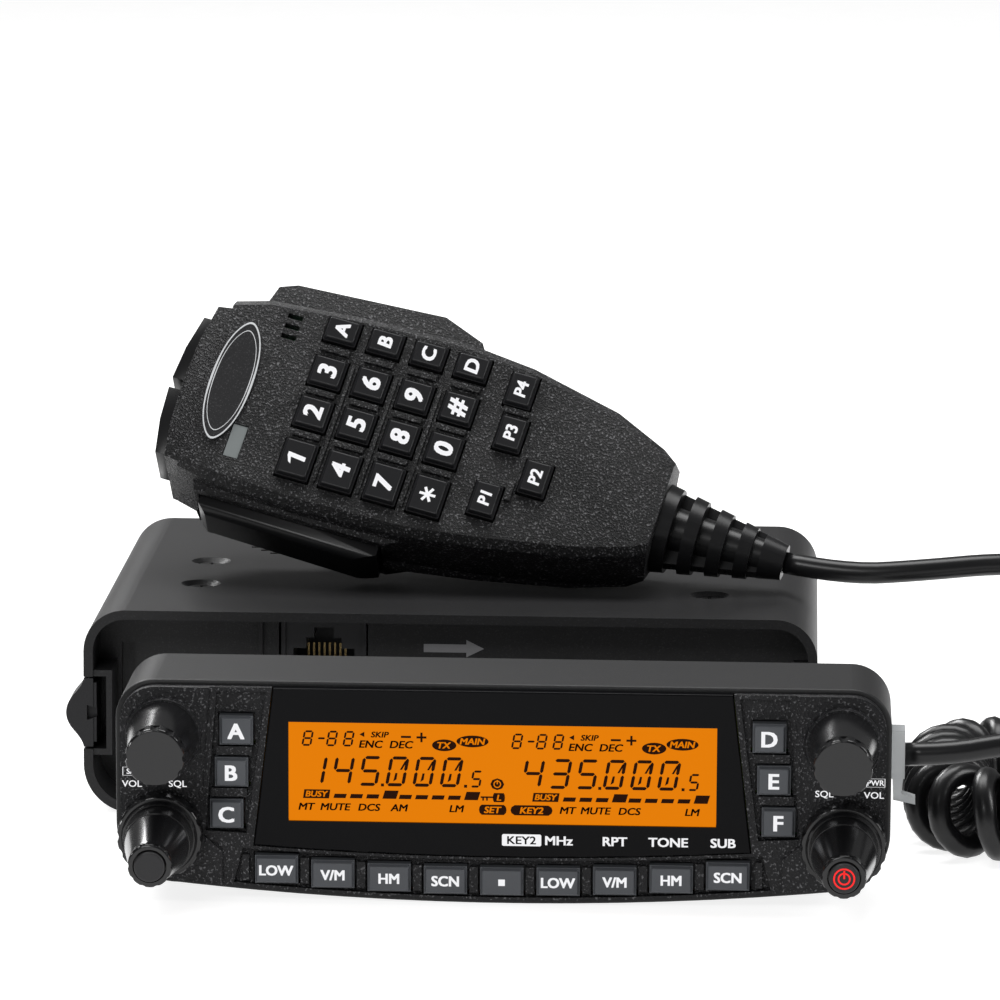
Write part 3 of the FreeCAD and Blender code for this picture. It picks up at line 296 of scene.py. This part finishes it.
def face_point(x, z, out=0.0):
    """A point on the control head's face, out mm in front of it, in metres."""
    c, s = math.cos(HEAD_LEAN), math.sin(HEAD_LEAN)
    return (HEAD_AT + Vector((x, -out * c - z * s, -out * s + z * c))) * MM


FACE_X = Vector((1, 0, 0))
FACE_Z = Vector((0, -math.sin(HEAD_LEAN), math.cos(HEAD_LEAN)))


def mic_axes():
    """The microphone's own axes: u along it towards the cord, w across it, n out of its face."""
    down = Vector((0, -math.sin(MIC_LEAN), -math.cos(MIC_LEAN)))
    u = Vector((math.cos(MIC_TURN), 0, 0)) + down * math.sin(MIC_TURN)
    w = Vector((math.sin(MIC_TURN), 0, 0)) - down * math.cos(MIC_TURN)
    return u, w, u.cross(w)


MIC_U, MIC_W, MIC_N = mic_axes()


def mic_point(u, w, n):
    """A point in the microphone's own axes, in metres."""
    return (MIC_AT + MIC_U * u + MIC_W * w + MIC_N * n) * MM


# ------------------------------------------------------------ meshes

def finish_piece(name, vertices, faces, material, body=None, smooth=False):
    """A mesh object with its material, riding on body if there is one."""
    mesh = bpy.data.meshes.new(name)
    mesh.from_pydata([tuple(v) for v in vertices], [], faces)
    mesh.update()
    if smooth:
        mesh.polygons.foreach_set("use_smooth", [True] * len(mesh.polygons))
    piece = bpy.data.objects.new(name, mesh)
    bpy.context.scene.collection.objects.link(piece)
    piece.data.materials.append(MATERIALS[material])
    if body:
        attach(piece, body)
    return piece


class Print:
    """Flat marks gathered into one mesh: outlines and lettering on a plane."""

    def __init__(self, origin, right, up):
        self.origin, self.right, self.up = origin, right, up
        self.vertices, self.faces = [], []

    def add(self, points, faces):
        start = len(self.vertices)
        for x, y in points:
            self.vertices.append(self.origin + self.right * (x * MM) + self.up * (y * MM))
        self.faces += [tuple(start + i for i in face) for face in faces]

    def polygon(self, points):
        self.add(points, [tuple(range(len(points)))])

    def bar(self, x0, x1, y0, y1, slant=0.0):
        shift = slant * (y1 - y0)
        self.polygon([(x0, y0), (x1, y0), (x1 + shift, y1), (x0 + shift, y1)])

    def ring(self, outline, thickness):
        """A closed line: outline points with a copy drawn in towards their middle."""
        count = len(outline)
        cx = sum(p[0] for p in outline) / count
        cy = sum(p[1] for p in outline) / count
        inner = []
        for x, y in outline:
            reach = math.hypot(x - cx, y - cy)
            keep = 1 - thickness / reach
            inner.append((cx + (x - cx) * keep, cy + (y - cy) * keep))
        quads = [(i, (i + 1) % count, count + (i + 1) % count, count + i) for i in range(count)]
        self.add(list(outline) + inner, quads)

    def text(self, words, x, y, height, bold=0.0, slant=0.0, stretch=1.0):
        """Lettering whose capitals are height tall, centred on x, y, thickened by copies moved by bold."""
        data = bpy.data.curves.new("words", "FONT")
        data.body = words
        data.size = 1.0
        data.shear = slant
        data.resolution_u = 3
        probe = bpy.data.objects.new("words", data)
        bpy.context.scene.collection.objects.link(probe)
        bpy.context.view_layer.update()
        mesh = bpy.data.meshes.new_from_object(probe)
        scale = height / 0.7
        xs = [v.co.x for v in mesh.vertices]
        ys = [v.co.y for v in mesh.vertices]
        middle = (min(xs) + max(xs)) / 2
        level = (min(ys) + max(ys)) / 2
        faces = [tuple(p.vertices) for p in mesh.polygons]
        for dx, dy in ((-1, -1), (-1, 1), (1, -1), (1, 1), (0, 0)):
            points = []
            for v in mesh.vertices:
                right = v.co.x - middle + dx * bold
                up = v.co.y - level + dy * bold * 0.6
                points.append((x + right * scale * stretch, y + up * scale))
            self.add(points, faces)
        bpy.data.objects.remove(probe)
        bpy.data.curves.remove(data)
        bpy.data.meshes.remove(mesh)

    def build(self, name, material, body):
        return finish_piece(name, self.vertices, self.faces, material, body)


def oval(x, y, half_x, half_y, steps=24):
    return [(x + half_x * math.cos(2 * math.pi * i / steps), y + half_y * math.sin(2 * math.pi * i / steps))
            for i in range(steps)]


def soften(node, width, segments=2):
    """A copy of a CAD node with its sharp edges rounded; it stands for the node."""
    source = NODES[node]
    work = bmesh.new()
    work.from_mesh(source.data)
    bmesh.ops.remove_doubles(work, verts=work.verts, dist=2e-6)
    bmesh.ops.dissolve_limit(work, angle_limit=math.radians(0.6), verts=work.verts, edges=work.edges)
    sharp = [e for e in work.edges if len(e.link_faces) == 2 and e.calc_face_angle(0) > math.radians(28)]
    bmesh.ops.bevel(work, geom=sharp, offset=width * MM, segments=segments, profile=0.5, affect="EDGES",
                    clamp_overlap=True)
    mesh = bpy.data.meshes.new(node + "_soft")
    work.to_mesh(mesh)
    work.free()
    mesh.polygons.foreach_set("use_smooth", [True] * len(mesh.polygons))
    mesh.set_sharp_from_angle(angle=math.radians(32))
    copy = bpy.data.objects.new(node + "_soft", mesh)
    bpy.context.scene.collection.objects.link(copy)
    copy.data.materials.append(MATERIALS[SLOT_OF[node]])
    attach(copy, BODY_OF[node])
    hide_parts(node)


# ------------------------------------------------------------ cord

def route_points(name, points):
    """The points of a smooth line through a listed route."""
    data = bpy.data.curves.new(name, "CURVE")
    data.dimensions = "3D"
    data.resolution_u = 14
    line = data.splines.new("NURBS")
    line.points.add(len(points) - 1)
    for point, at in zip(line.points, points):
        point.co = (at[0] * MM, at[1] * MM, at[2] * MM, 1)
    line.order_u = 3
    line.use_endpoint_u = True
    probe = bpy.data.objects.new(name, data)
    bpy.context.scene.collection.objects.link(probe)
    bpy.context.view_layer.update()
    mesh = bpy.data.meshes.new_from_object(probe)
    found = [v.co.copy() for v in mesh.vertices]
    bpy.data.objects.remove(probe)
    bpy.data.curves.remove(data)
    bpy.data.meshes.remove(mesh)
    return found


def resample(points, step):
    """Points at even distances along a line, with their distances from its start."""
    total = sum((b - a).length for a, b in zip(points, points[1:]))
    count = max(2, round(total / step))
    spaced, index, passed = [], 0, 0.0
    for number in range(count + 1):
        want = total * number / count
        while index < len(points) - 2 and passed + (points[index + 1] - points[index]).length < want:
            passed += (points[index + 1] - points[index]).length
            index += 1
        run = points[index + 1] - points[index]
        share = min(1.0, (want - passed) / max(run.length, 1e-9))
        spaced.append(points[index] + run * share)
    return spaced, total


def coil_points():
    """The cable's centreline as it winds round the coil's route."""
    spaced, total = resample(route_points("coil_route", COIL_ROUTE), COIL_PITCH * MM / 22)
    turns = round(total / (COIL_PITCH * MM))
    wound = []
    for index, at in enumerate(spaced):
        before, after = spaced[max(0, index - 1)], spaced[min(len(spaced) - 1, index + 1)]
        ahead = (after - before).normalized()
        side = Vector((0, 0, 1)).cross(ahead).normalized()
        share = index / (len(spaced) - 1)
        ramp = min(1.0, share * turns / COIL_END_TURNS, (1 - share) * turns / COIL_END_TURNS)
        reach = (COIL_R - CABLE_R) * MM * ramp * ramp * (3 - 2 * ramp)
        angle = 2 * math.pi * turns * share
        wound.append(at + side * reach * math.cos(angle) + Vector((0, 0, 1)) * reach * math.sin(angle))
    return wound


def cable_mesh(name, points, sides=12):
    """A round cable along the points."""
    vertices, faces = [], []
    normal = Vector((0, 0, 1))
    for index, at in enumerate(points):
        ahead = (points[min(index + 1, len(points) - 1)] - points[max(index - 1, 0)]).normalized()
        normal = (normal - ahead * normal.dot(ahead)).normalized()
        side = ahead.cross(normal)
        for step in range(sides):
            angle = 2 * math.pi * step / sides
            vertices.append(at + (normal * math.cos(angle) + side * math.sin(angle)) * CABLE_R * MM)
    for index in range(len(points) - 1):
        for step in range(sides):
            a, b = index * sides + step, index * sides + (step + 1) % sides
            faces.append((a, b, b + sides, a + sides))
    faces.append(tuple(reversed(range(sides))))
    faces.append(tuple(range(len(vertices) - sides, len(vertices))))
    return finish_piece(name, vertices, faces, "cable_rubber", smooth=True)


def make_cords():
    """The cord: its lead and coil as one piece, and the tail that ends in the plug as another."""
    lead = resample(route_points("lead_route", LEAD_ROUTE), 0.003)[0]
    tail = resample(route_points("tail_route", TAIL_ROUTE), 0.003)[0]
    long_path = lead + coil_points()[1:]
    curly = cable_mesh("curly_cord", long_path)
    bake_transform(curly)
    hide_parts("cord_lead", "cord_coil")
    end = cable_mesh("tail_cord", tail)
    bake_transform(end)
    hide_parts("cord_tail")


# ------------------------------------------------------------ lettering

def star(sheet, x, y, reach, thick):
    """Three crossed bars."""
    for step in range(3):
        angle = math.pi * step / 3 + math.pi / 2
        dx, dy = math.cos(angle), math.sin(angle)
        corners = [(-reach, -thick / 2), (reach, -thick / 2), (reach, thick / 2), (-reach, thick / 2)]
        sheet.polygon([(x + a * dx - b * dy, y + a * dy + b * dx) for a, b in corners])


def one(sheet, x, y, height):
    """A slanted figure one with a flag."""
    half, thick = height / 2, height * 0.26
    slant = 0.12 * height
    sheet.polygon([(x - thick / 2, y - half), (x + thick / 2, y - half), (x + thick / 2 + slant, y + half),
                   (x - thick / 2 + slant, y + half)])
    sheet.polygon([(x - thick * 1.6, y + half * 0.42), (x, y + half * 0.62), (x, y + half * 0.98),
                   (x - thick * 1.3, y + half * 0.72)])


def print_mic_keys():
    """The characters on the microphone's keys, one mesh for each row."""
    rows = ("123A", "456B", "789C", "*0#D")
    for index, (u, letters) in enumerate(zip(MIC_ROWS, rows)):
        sheet = Print(mic_point(0, 0, MIC_KEY_TOP + INK), MIC_W, -MIC_U)
        for w, letter in zip(MIC_COLUMNS, letters):
            if letter == "*":
                star(sheet, w, -u, 1.6, 0.55)
            elif letter == "1":
                one(sheet, w, -u, 3.6)
            else:
                height = 2.7 if letter in "ABCD" else 3.6
                sheet.text(letter, w, -u, height, bold=0.04, slant=0.1, stretch=1.05)
        sheet.build("mic_glyphs_" + str(index + 1), "white", "keypad_row_" + str(index + 1))
    sheet = Print(mic_point(0, 0, MIC_KEY_TOP + INK), MIC_W, -MIC_U)
    for number, (u, w) in enumerate(MIC_PROGRAM):
        sheet.text("P" + str(number + 1), w, -u, 2.3, bold=0.035, slant=0.1, stretch=1.0)
    sheet.build("mic_glyphs_program", "white", "program_keys")


def print_panel_keys():
    """The letters and words on the control head's keys, one mesh for each key."""
    for side, letters in ((-1, "ABC"), (1, "DEF")):
        for letter, (x, z) in zip(letters, LETTER_KEYS):
            sheet = Print(face_point(0, 0, KEY_TOP + INK), FACE_X, FACE_Z)
            sheet.text(letter, side * x, z, 2.8, bold=0.035, stretch=1.05)
            name = "key_" + letter.lower()
            sheet.build(name + "_legend", "white", name)
    words = ("LOW", "V/M", "HM", "SCN", "", "LOW", "V/M", "HM", "SCN")
    for index, word in enumerate(words):
        x = (index - 4) * FUNCTION_KEY_PITCH
        z = FUNCTION_KEY_Z + FUNCTION_KEY_RISE * ((index - 4) / 4) ** 2
        sheet = Print(face_point(0, 0, KEY_TOP + INK), FACE_X, FACE_Z)
        if word:
            sheet.text(word, x, z, 1.85, bold=0.035, stretch=1.0)
        else:
            sheet.bar(x - 0.6, x + 0.6, z - 0.6, z + 0.6)
        name = "function_key_" + str(index + 1)
        sheet.build(name + "_legend", "white", name)


SEGMENTS = {
    "0": "abcdef", "1": "bc", "2": "abged", "3": "abgcd", "4": "fgbc", "5": "afgcd",
    "6": "afgedc", "7": "abc", "8": "abcdefg", "9": "abcdfg", "-": "g",
}


def digit(sheet, letter, x, y, width, height, thick, slant=0.18):
    """A seven-segment digit whose lower left corner is at x, y."""
    half = height / 2
    gap = thick * 0.12

    def across(level):
        low, high = level - thick / 2, level + thick / 2
        a, b = thick * 0.55 + gap, width - thick * 0.55 - gap
        points = [(a, level), (a + thick / 2, low), (b - thick / 2, low), (b, level),
                  (b - thick / 2, high), (a + thick / 2, high)]
        sheet.polygon([(x + px + py * slant, y + py) for px, py in points])

    def upright(at, low, high):
        low, high = low + gap, high - gap
        points = [(at, low), (at + thick / 2, low + thick / 2), (at + thick / 2, high - thick / 2),
                  (at, high), (at - thick / 2, high - thick / 2), (at - thick / 2, low + thick / 2)]
        sheet.polygon([(x + px + py * slant, y + py) for px, py in points])

    left, right = thick / 2, width - thick / 2
    low, high = thick / 2, height - thick / 2
    for segment in SEGMENTS[letter]:
        if segment in "agd":
            across({"a": high, "g": half, "d": low}[segment])
        else:
            column = right if segment in "bc" else left
            upright(column, *((half, high) if segment in "bf" else (low, half)))


def blob(sheet, pale, words, x, z, half_x, half_z):
    """A dark oval-ended block with a paler word on it."""
    sheet.polygon([(x + half_x * c, z + half_z * d) for c, d in
                   ((-0.8, -1), (0.8, -1), (0.95, -0.6), (1, 0), (0.95, 0.6), (0.8, 1), (-0.8, 1),
                    (-0.95, 0.6), (-1, 0), (-0.95, -0.6))])
    small(pale, words, x, z, half_z * 1.25)


def small(sheet, words, x, z, height):
    """A slanted display word."""
    sheet.text(words, x, z, height, bold=0.03, slant=0.18, stretch=1.12)


def channel_block(sheet, pale, shift, first):
    """One band of the display, drawn for the left half and moved right by shift."""
    for letter, x in (("8", -36.3), ("-", -33.8), ("8", -31.9), ("8", -28.9)):
        digit(sheet, letter, x + shift, 29.3, 1.8, 2.9, 0.36)
    sheet.polygon([(shift - 25.8, 31.6), (shift - 24.9, 32.1), (shift - 24.9, 31.1)])
    small(sheet, "SKIP", shift - 22.1, 31.6, 1.05)
    small(sheet, "ENC", shift - 23.7, 29.8, 1.35)
    small(sheet, "DEC", shift - 18.2, 29.8, 1.35)
    sheet.bar(shift - 18.3, shift - 16.5, 31.05, 31.45)
    sheet.bar(shift - 15.5, shift - 13.7, 31.0, 31.4)
    sheet.bar(shift - 14.8, shift - 14.4, 30.3, 32.1)
    for word, x, z, half in (("TX", -10.5, 29.8, 2.2), ("MAIN", -5.4, 30.6, 2.9)):
        sheet.polygon(oval(x + shift, z, half, 1.1))
        small(pale, word, x + shift, z, 1.15)
    wide = shift + (1.4 if shift else 0.0)
    for index, letter in enumerate(first + "000"):
        digit(sheet, letter, wide + DIGIT_X + index * DIGIT_PITCH, DIGIT_Z, 3.5, 5.6, 0.6)
    for index in (3, 4, 5):
        x = wide + DIGIT_X + index * DIGIT_PITCH
        sheet.polygon([(x + 1.5, 22.9), (x + 2.1, 23.3), (x + 2.3, 24.5), (x + 1.9, 24.5)])
        sheet.polygon([(x + 2.7, 25.1), (x + 3.1, 25.1), (x + 4.1, 26.9), (x + 3.6, 26.7)])
    digit(sheet, "5", wide - 5.9, DIGIT_Z, 1.9, 3.2, 0.4)
    for x in (-21.9, -6.9):
        sheet.bar(wide + x, wide + x + 0.55, 21.95, 22.5)
    meter = shift + (3.6 if shift else 0.0)
    sheet.bar(meter - 36.0, meter - 31.3, 19.55, 21.2, 0.15)
    small(pale, "BUSY", meter - 33.5, 20.4, 1.05)
    for index in range(9):
        x = meter - 30.5 + index * 2.95
        tall = index in (3, 8)
        sheet.bar(x, x + (2.5 if tall else 2.2), 19.65, 21.2 if tall else 20.45, 0.3)


def print_display():
    """The display's segments and signs."""
    sheet = Print(face_point(0, 0, GLASS_OUT + INK), FACE_X, FACE_Z)
    pale = Print(face_point(0, 0, GLASS_OUT + SECOND_INK), FACE_X, FACE_Z)
    channel_block(sheet, pale, 0.0, "145")
    channel_block(sheet, pale, RIGHT_CHANNEL, "435")
    words = (("MT", -35.3), ("MUTE", -30.1), ("DCS", -24.0), ("AM", -18.6), ("LM", -8.2),
             ("MT", 11.9), ("MUTE", 16.9), ("DCS", 23.0), ("LM", 34.3))
    for word, x in words:
        small(sheet, word, x, 18.0, 1.3)
    blob(sheet, pale, "SET", -1.7, 17.9, 2.5, 0.95)
    blob(sheet, pale, "KEY2", 5.3, 17.9, 3.8, 0.95)
    blob(sheet, pale, "L", -0.6, 20.2, 1.1, 0.85)
    sheet.bar(-3.9, -1.6, 20.1, 20.4)
    sheet.bar(-3.6, -3.3, 19.6, 20.2)
    sheet.bar(-2.9, -2.6, 19.6, 20.2)
    sheet.polygon(oval(-0.9, 22.7, 1.25, 1.1, 8))
    pale.ring(oval(-0.9, 22.7, 0.7, 0.7, 16), 0.2)
    pale.bar(-1.0, -0.8, 22.7, 23.5)
    sheet.build("display_segments", "segment", "control_head")
    pale.build("display_badge_words", "display_amber", "control_head")


def print_panel():
    """The words on the window and on the pads beside the dials, and the mark on the right push cap."""
    sheet = Print(face_point(0, 0, WINDOW_OUT + 0.02), FACE_X, FACE_Z)
    sheet.polygon([(0.2, 11.3), (6.9, 11.3), (7.1, 11.5), (7.1, 13.3), (6.9, 13.5), (0.2, 13.5),
                   (0, 13.3), (0, 11.5)])
    for word, x in (("MHz", 10.3), ("RPT", 20.4), ("TONE", 30.0), ("SUB", 39.9)):
        sheet.text(word, x, WINDOW_WORD_Z, 1.65, bold=0.028, stretch=1.12)
    sheet.build("window_words", "white", "control_head")
    dark = Print(face_point(0, 0, WINDOW_OUT + 0.05), FACE_X, FACE_Z)
    dark.text("KEY2", 3.55, WINDOW_WORD_Z, 1.45, bold=0.02, stretch=1.15)
    dark.build("window_dark_word", "window_black", "control_head")
    pads = Print(face_point(0, 0, PAD_OUT), FACE_X, FACE_Z)
    for x, word in ((-66.9, "VOL"), (-58.6, "SQL"), (66.9, "VOL"), (58.0, "SQL")):
        pads.text(word, x, 21.9, 1.2, bold=0.012, stretch=1.1)
    for x in (-66.9, 67.2):
        pads.text("PWR" if x > 0 else "S/R", x, 24.2, 1.0, bold=0.02, stretch=1.0)
        pads.ring([(x - 1.7, 23.4), (x + 1.7, 23.4), (x + 1.7, 25.0), (x - 1.7, 25.0)], 0.14)
    pads.build("pad_words", "white", "control_head")
    cap = Print(face_point(0, 0, CAP_OUT), FACE_X, FACE_Z)
    x, z = VOLUME_AT
    cap.ring(oval(x, z, 1.95, 1.95, 32), 0.3)
    cap.ring(oval(x, z, 1.15, 1.15, 24), 0.3)
    cap.bar(x - 0.16, x + 0.16, z, z + 1.5)
    # the red mark's glow is painted light
    cap.build("power_mark", "red", "push_cap_right")


def mark_unit():
    """The arrow on the tray's back wall, the jack's contacts and the microphone's lamp and badge line."""
    arrow = Print(Vector((0, TRAY_WALL_Y, 0)) * MM, Vector((1, 0, 0)), Vector((0, 0, 1)))
    arrow.bar(-5.6, 2.6, 29.9, 31.5)
    arrow.polygon([(2.6, 29.0), (6.0, 30.7), (2.6, 32.4)])
    arrow.build("tray_arrow", "grey", "main_unit")
    contacts = Print(Vector((0, JACK_BACK_Y, 0)) * MM, Vector((1, 0, 0)), Vector((0, 0, 1)))
    for index in range(8):
        x = JACK_X + (index - 3.5) * CONTACT_PITCH
        contacts.bar(x - 0.2, x + 0.2, 25.0, 29.4)
    contacts.build("jack_contacts", "gold", "main_unit")
    lamp = Print(mic_point(0, 0, -0.2), MIC_U, MIC_W)
    lamp.bar(7.15, 10.05, -14.05, -7.15)
    lamp.build("mic_lamp", "lamp", "microphone")
    line = Print(mic_point(0, 0, 0.53), MIC_U, MIC_W)
    for size, thickness in ((0.98, 0.42), (0.84, 0.2)):
        ring = []
        for step in range(48):
            angle = 2 * math.pi * step / 48
            reach = 4.3 * (1 - 0.18 * abs(math.sin(angle)) ** 6)
            ring.append((3.9 + size * reach * math.cos(angle), 1.2 + size * 13.2 * math.sin(angle)))
        line.ring(ring, thickness)
    line.build("badge_line", "silver", "microphone")


# ------------------------------------------------------------ the whole

bpy.context.scene.view_settings.view_transform = "Standard"
place_camera()
light_scene()
bpy.ops.mesh.primitive_plane_add(size=30, location=(0, 0, 0))
floor = bpy.context.object
floor.name = "floor"
MATERIALS.update(make_materials())
floor.data.materials.append(glowing("floor_white", (0.95, 0.95, 0.95), 0.88, body=0.4))
for node, piece in NODES.items():
    piece.data.materials.clear()
    piece.data.materials.append(MATERIALS[SLOT_OF[node]])
for node, width in SOFT_EDGES.items():
    soften(node, width)
make_cords()
print_mic_keys()
print_panel_keys()
print_display()
print_panel()
mark_unit()
